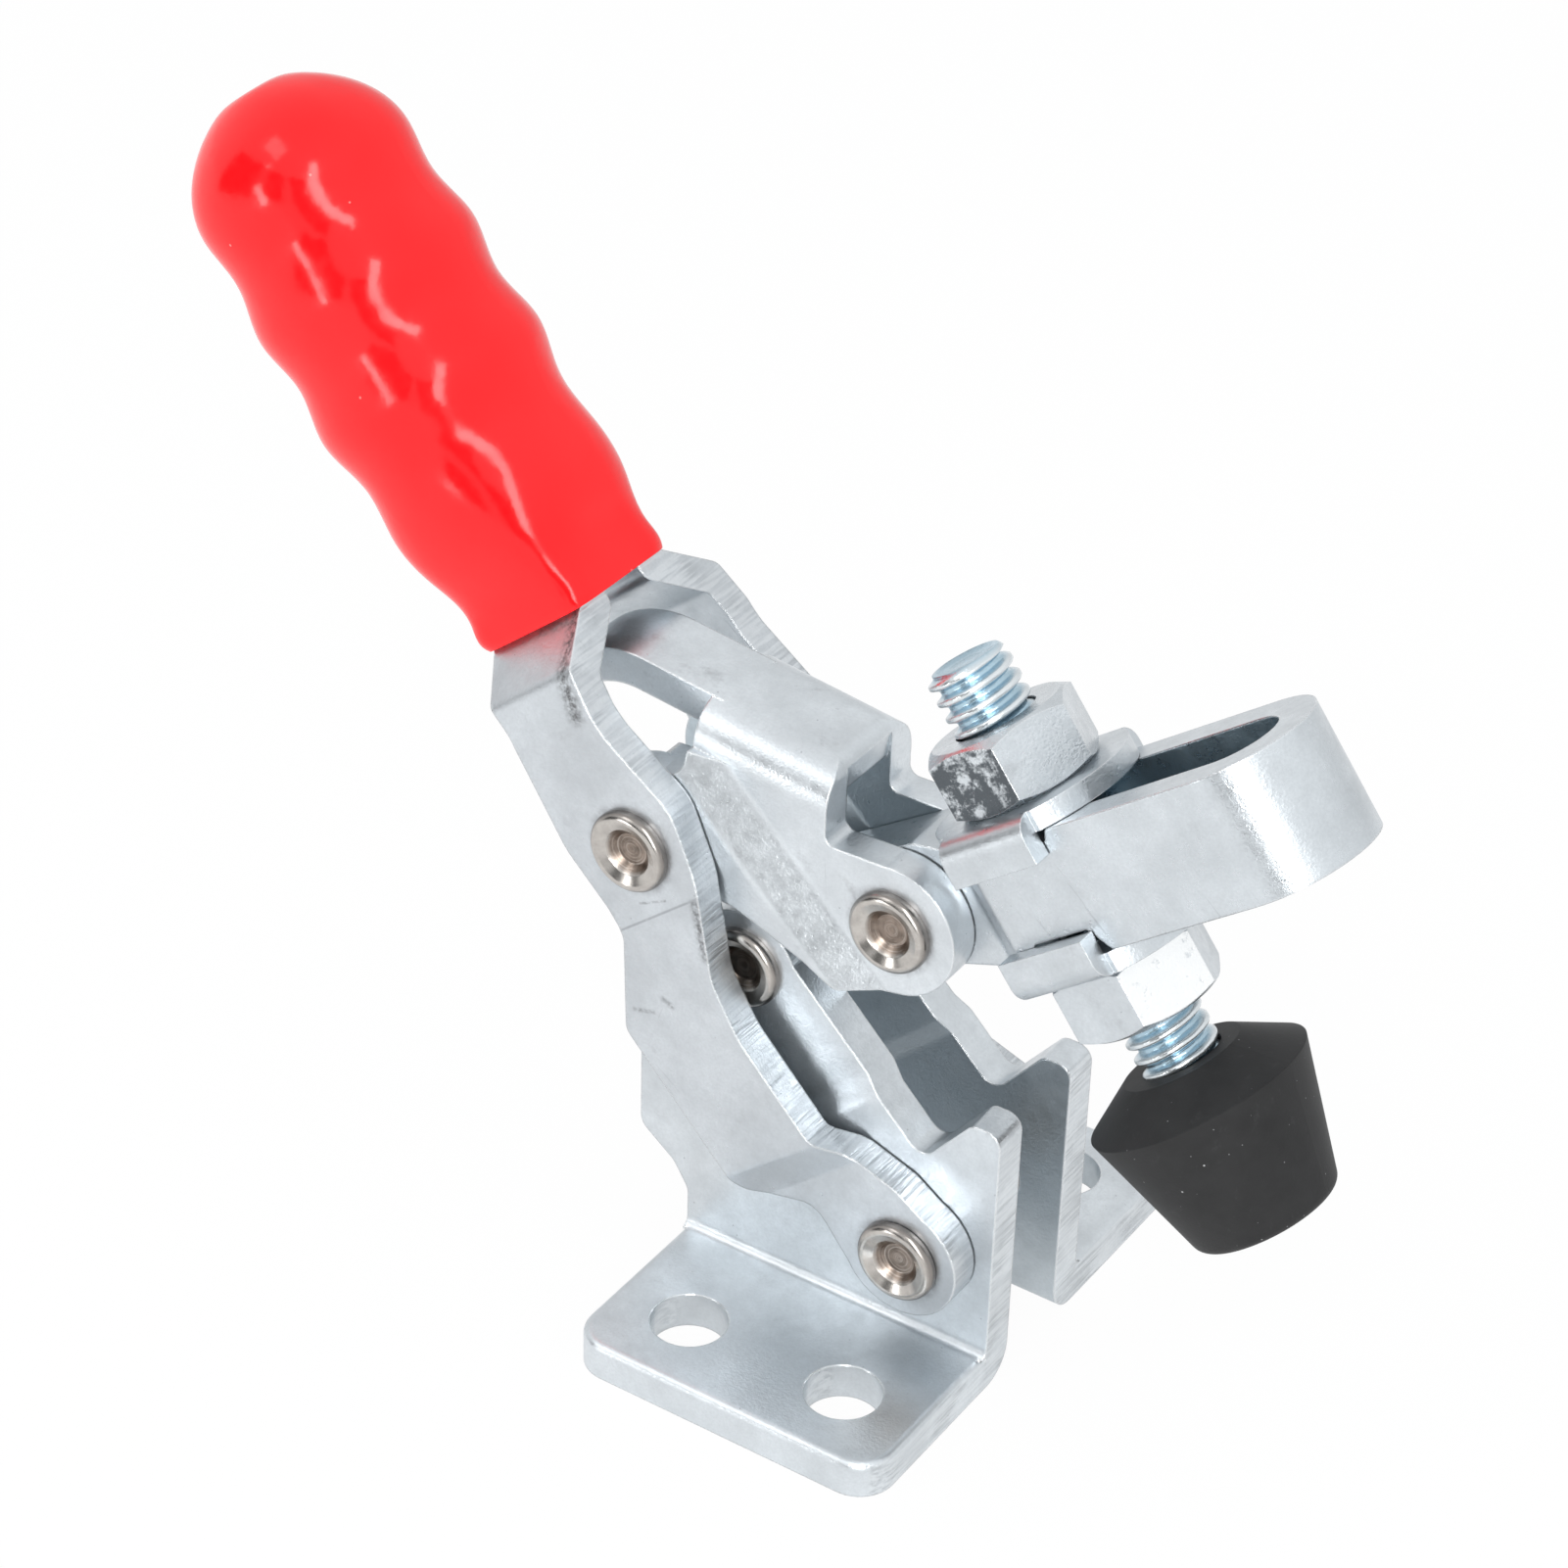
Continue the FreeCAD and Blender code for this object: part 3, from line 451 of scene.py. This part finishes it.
def rivet_metal(name, pivot):
    """Nickel rivet head, worn bright, with a brown bloom and turning marks in its recess."""
    t = Tree(name)
    x, y, z = t.split(t.placed(pivot))[:3]
    distance = t.length(x, z)
    recess = t.ramp(distance, *RIVET_RECESS)
    turning = t.fill("ShaderNodeCombineXYZ", t.times(distance, 5.0), t.times(y, 0.2), t.times(x, 0.35))
    rings = t.noise(turning, 1.6, 3.0, 0.6)
    cloud = t.noise(t.placed(pivot), 1.3, 4.0, 0.6)
    normal, _ = t.rounded_normal(0.12)
    bright = t.mix(t.ramp(cloud, 0.35, 0.75), rgb(0.57, 0.54, 0.505), rgb(0.45, 0.425, 0.40))
    bright = t.paint(bright, t.ramp(distance, *RIVET_RIM), 0.65, rgb(0.16, 0.14, 0.13))
    brown = t.mix(t.ramp(cloud, 0.3, 0.65), rgb(0.13, 0.10, 0.08), rgb(0.29, 0.23, 0.19))
    color = t.paint(bright, recess, 0.95, brown)
    color = t.paint(color, t.times(recess, t.ramp(rings, 0.52, 0.64)), 0.40, rgb(0.66, 0.60, 0.55))
    roughness = t.plus(t.plus(t.times(cloud, 0.06), t.times(recess, 0.08)), 0.19)
    height = t.plus(t.times(rings, t.plus(t.times(recess, 1.4), 0.1)), t.times(cloud, 0.1))
    return t.principled(color, roughness, t.bump(height, 0.2, 0.03, normal), Metallic=1.0)


def red_plastic(name):
    """Glossy dipped vinyl with slow unevenness and a few specks of dust."""
    t = Tree(name)
    point = t.placed()
    slow = t.noise(point, 0.14, 2.0, 0.4)
    fine = t.noise(point, 1.3, 3.0, 0.5)
    dust = t.specks(point, 0.35, 0.11, 0.30)
    color = t.mix(t.ramp(slow, 0.3, 0.7), rgb(0.84, 0.003, 0.006), rgb(0.90, 0.006, 0.009))
    color = t.paint(color, dust, 0.5, rgb(0.9, 0.40, 0.38))
    roughness = t.plus(t.times(t.ramp(fine, 0.4, 0.7), 0.05), 0.14)
    height = t.plus(slow, t.times(fine, 0.06))
    return t.principled(color, roughness, t.bump(height, 0.5, 0.35), IOR=1.42)


def rubber(name):
    """Near-black moulded rubber with a fine bloom, a faint haze and specks of dust."""
    t = Tree(name)
    point = t.placed()
    cloud = t.noise(point, 0.4, 4.0, 0.6)
    fine = t.noise(point, 5.0, 2.0, 0.6)
    dust = t.specks(point, 0.75, 0.10, 0.30)
    dots = t.specks(point, 1.9, 0.055, 0.20)
    haze = t.ramp(t.noise(t.placed(stretch=(1.0, 1.0, 2.0)), 0.9, 5.0, 0.7), 0.60, 0.80)
    color = t.mix(t.ramp(cloud, 0.3, 0.7), rgb(0.012, 0.012, 0.0125), rgb(0.019, 0.019, 0.0195))
    color = t.paint(color, haze, 0.12, rgb(0.14, 0.14, 0.145))
    color = t.paint(color, dust, 0.8, rgb(0.50, 0.50, 0.51))
    color = t.paint(color, dots, 0.6, rgb(0.30, 0.30, 0.31))
    roughness = t.plus(t.times(cloud, 0.14), 0.50)
    height = t.plus(fine, t.times(cloud, 1.5))
    normal, _ = t.rounded_normal(0.12)
    return t.principled(color, roughness, t.bump(height, 0.25, 0.04, normal), IOR=1.38)


def dress(node, material):
    """Every material slot of a CAD node gets the material."""
    slots = nodes[node].material_slots
    if not slots:
        nodes[node].data.materials.append(material)
    for one in slots:
        one.material = material


def thread_radius(height, share):
    """The spindle's radius at a height, a share of a turn around: round roots between sharp crests."""
    phase = (height / THREAD_PITCH - share) % 1.0
    away = abs(phase - 0.5) * 2.0
    rise = min(1.0, max(0.0, (away - THREAD_ROOT) / THREAD_FLANK))
    profile = rise * rise * (3.0 - 2.0 * rise)
    radius = SPINDLE_RADIUS - THREAD_DEPTH * (1.0 - profile)
    ceiling = SPINDLE_RADIUS - LEAD_IN_SLOPE * max(0.0, LEAD_IN - (SPINDLE_TOP - height))
    return min(radius, ceiling)


def threaded_spindle(material):
    """The spindle with its rolled thread: sharp bright crests, wide round roots and a dished end."""
    tilt = math.radians(ARM_ANGLE)
    along_arm = Vector((math.cos(tilt), 0.0, math.sin(tilt)))
    axis = Vector((-math.sin(tilt), 0.0, math.cos(tilt)))
    origin = Vector((ARM[0], 0.0, ARM[1])) + along_arm * SPINDLE_AT
    mesh = bmesh.new()

    def ring_at(radii, height):
        """A closed ring of vertices around the axis, one for each radius."""
        ring = []
        for step, radius in enumerate(radii):
            turn = 2.0 * math.pi * step / len(radii)
            across = Vector((0.0, radius * math.sin(turn), 0.0))
            place = origin + along_arm * (radius * math.cos(turn)) + across + axis * height
            ring.append(mesh.verts.new(place * MM))
        return ring

    def wall(lower, upper):
        """Quads between two rings."""
        for step in range(len(lower)):
            following = (step + 1) % len(lower)
            mesh.faces.new((lower[step], lower[following], upper[following], upper[step]))

    def thread_ring(height):
        return [thread_radius(height, step / THREAD_STEPS) for step in range(THREAD_STEPS)]

    rows = int((SPINDLE_TOP - HEAD_TOP) / THREAD_PITCH * THREAD_ROWS_PER_TURN)
    rings = []
    for row in range(rows + 1):
        height = HEAD_TOP + (SPINDLE_TOP - HEAD_TOP) * row / rows
        rings.append(ring_at(thread_ring(height), height))
    for inset, drop in END_RINGS:
        rings.append(ring_at([radius - inset for radius in thread_ring(SPINDLE_TOP)], SPINDLE_TOP - drop))
    for lower, upper in zip(rings, rings[1:]):
        wall(lower, upper)
    mesh.faces.new(rings[-1])

    corners = [HEAD_FLATS / math.sqrt(3.0)] * HEAD_SIDES
    top = ring_at(corners, HEAD_TOP)
    bottom = ring_at(corners, HEAD_LOW)
    wall(bottom, top)
    mesh.faces.new(bottom[::-1])
    mesh.faces.new(top)
    mesh.faces.new(rings[0][::-1])
    bmesh.ops.recalc_face_normals(mesh, faces=mesh.faces)
    data = bpy.data.meshes.new("spindle_threaded")
    mesh.to_mesh(data)
    mesh.free()
    for face in data.polygons:
        face.use_smooth = len(face.vertices) == 4 and face.area < SMOOTH_AREA
    data.materials.append(material)
    piece = bpy.data.objects.new("spindle_threaded", data)
    scene.collection.objects.link(piece)
    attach(piece, "screw")
    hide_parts("spindle")


def make_surroundings():
    """A white background, and a sky for everything else that is brighter overhead and on the right."""
    t = Tree("studio", world=True)
    scene.world = t.owner
    path = t.add("ShaderNodeLightPath").outputs
    seen = t.larger(path["Is Camera Ray"], path["Is Transmission Ray"])
    seen = t.larger(seen, t.times(path["Is Glossy Ray"], SKY_WHITE_IN_GLOSS))
    direction = t.coordinates("Generated")
    rise = t.ramp(t.split(direction)[2], *SKY_RISE)
    side = t.ramp(t.dot(direction, SKY_BRIGHT_SIDE), *SKY_SIDE)
    sky = t.fill("ShaderNodeBackground", SKY_COLOR, t.times(rise, side))
    white = t.fill("ShaderNodeBackground", rgb(1, 1, 1), 1.0)
    t.put(t.surface, t.fill("ShaderNodeMixShader", seen, sky, white))


def make_floor():
    """A pale floor that keeps the shadow and shows as white."""
    corners = [(-FLOOR_HALF, -FLOOR_HALF, 0), (FLOOR_HALF, -FLOOR_HALF, 0),
               (FLOOR_HALF, FLOOR_HALF, 0), (-FLOOR_HALF, FLOOR_HALF, 0)]
    mesh = bpy.data.meshes.new("floor")
    mesh.from_pydata(corners, [], [(0, 1, 2, 3)])
    floor = bpy.data.objects.new("floor", mesh)
    scene.collection.objects.link(floor)
    t = Tree("floor_white")
    path = t.add("ShaderNodeLightPath").outputs
    direct = t.larger(path["Is Camera Ray"], path["Is Transmission Ray"])
    direct = t.times(direct, FLOOR_WHITE_DIRECT)
    shown = t.larger(direct, t.times(path["Is Glossy Ray"], FLOOR_WHITE_IN_GLOSS))
    matt = t.fill("ShaderNodeBsdfDiffuse", rgb(FLOOR_GREY, FLOOR_GREY, FLOOR_GREY))
    glow = t.fill("ShaderNodeEmission", rgb(1, 1, 1), 1.0)
    t.put(t.surface, t.fill("ShaderNodeMixShader", shown, matt, glow))
    mesh.materials.append(t.owner)


def make_cards():
    """Black cards in front that give curved metal and vinyl their dark bands.

    Only glossy surfaces see them.
    """
    mesh = bpy.data.meshes.new("cards")
    corners = [corner for card in CARDS for corner in card]
    mesh.from_pydata(corners, [], [tuple(range(4 * index, 4 * index + 4)) for index in range(len(CARDS))])
    card = bpy.data.objects.new("cards", mesh)
    scene.collection.objects.link(card)
    t = Tree("card_black")
    t.put(t.surface, t.fill("ShaderNodeBsdfDiffuse", rgb(CARD_GREY, CARD_GREY, CARD_GREY)))
    mesh.materials.append(t.owner)
    card.visible_camera = False
    card.visible_diffuse = False
    card.visible_shadow = False
    card.visible_transmission = False


def make_lamps():
    """Soft lamps in front and above, each turned toward the clamp and hidden from the camera."""
    for name, place, width, height, lean, radiance in LAMPS:
        data = bpy.data.lights.new(name, "AREA")
        data.shape = "RECTANGLE"
        data.size = width
        data.size_y = height
        data.energy = radiance * math.pi * width * height
        lamp = bpy.data.objects.new(name, data)
        back = (Vector(place) - Vector(LAMP_TARGET)).normalized()
        level = Vector((0.0, 0.0, 1.0)).cross(back).normalized()
        turn = Matrix((level, back.cross(level), back)).transposed().to_4x4()
        lamp.matrix_world = Matrix.Translation(place) @ turn @ Matrix.Rotation(math.radians(lean), 4, "Z")
        lamp.visible_camera = False
        scene.collection.objects.link(lamp)


make_camera()
make_surroundings()
make_floor()
make_cards()
make_lamps()

base_zinc = zinc("base_zinc_plate", tint=(0.70, 0.74, 0.77), angle=20.0, seed=1.0, rough=0.28, cut=FOLDED,
                 inward_shade=0.25, grime=0.3)
handle_zinc = zinc("handle_zinc_plate", tint=(0.63, 0.665, 0.695), pivot=BASE_FRONT, angle=HANDLE_ANGLE,
                   seed=2.0, cut=SHEET, rivets=(BASE_FRONT, LINK), marks=HANDLE_MARKS, crease=HANDLE_CREASE,
                   inward_shade=0.2)
link_zinc = zinc("link_zinc_plate", tint=(0.72, 0.76, 0.79), pivot=ARM, angle=LINK_ANGLE, seed=3.0,
                 rivets=(ARM,), inward_shade=0.5, grime=0.6)
arm_zinc = zinc("arm_zinc_plate", pivot=ARM, angle=ARM_ANGLE, seed=4.0, rough=0.25, inward_shade=0.8, grime=0.3)
washer_zinc = zinc("washer_zinc_plate", pivot=ARM, angle=ARM_ANGLE, seed=5.0, rough=0.26, edge_radius=0.12,
                   inward_shade=0.0)
nut_upper_zinc = zinc("nut_upper_zinc_plate", pivot=ARM, angle=ARM_ANGLE, seed=6.0, rough=0.22,
                      edge_radius=0.12, inward_shade=0.0, face_reflection=NUT_UPPER_PAINTED_REFLECTION)
nut_lower_zinc = zinc("nut_lower_zinc_plate", pivot=ARM, angle=ARM_ANGLE, seed=8.0, rough=0.30,
                      edge_radius=0.12, inward_shade=0.0, face_reflection=NUT_LOWER_PAINTED_GLARE)
spindle_zinc = zinc("spindle_zinc_plate", tint=(0.46, 0.62, 0.72), pivot=ARM, angle=ARM_ANGLE, seed=7.0,
                    rough=0.16, edge_radius=0.05, grime=0.1, inward_shade=0.0,
                    bolt=(SPINDLE_AT, BLUE_ROOT, BRIGHT_CREST))
for side in ("left", "right"):
    dress("base_plate_" + side, base_zinc)
    dress("handle_plate_" + side, handle_zinc)
    dress("handle_base_rivet_" + side, rivet_metal("rivet_front_" + side, BASE_FRONT))
    dress("arm_base_rivet_" + side, rivet_metal("rivet_rear_" + side, BASE_REAR))
dress("handle_link_rivet", rivet_metal("rivet_link", LINK))
dress("link_arm_rivet", rivet_metal("rivet_arm", ARM))
dress("handle_grip", red_plastic("grip_red_plastic"))
dress("link_bracket", link_zinc)
dress("clamp_arm", arm_zinc)
for level in ("upper", "lower"):
    dress("flanged_washer_" + level, washer_zinc)
dress("nut_upper", nut_upper_zinc)
dress("nut_lower", nut_lower_zinc)
dress("spindle", spindle_zinc)
threaded_spindle(spindle_zinc)
dress("rubber_tip", rubber("tip_rubber_black"))
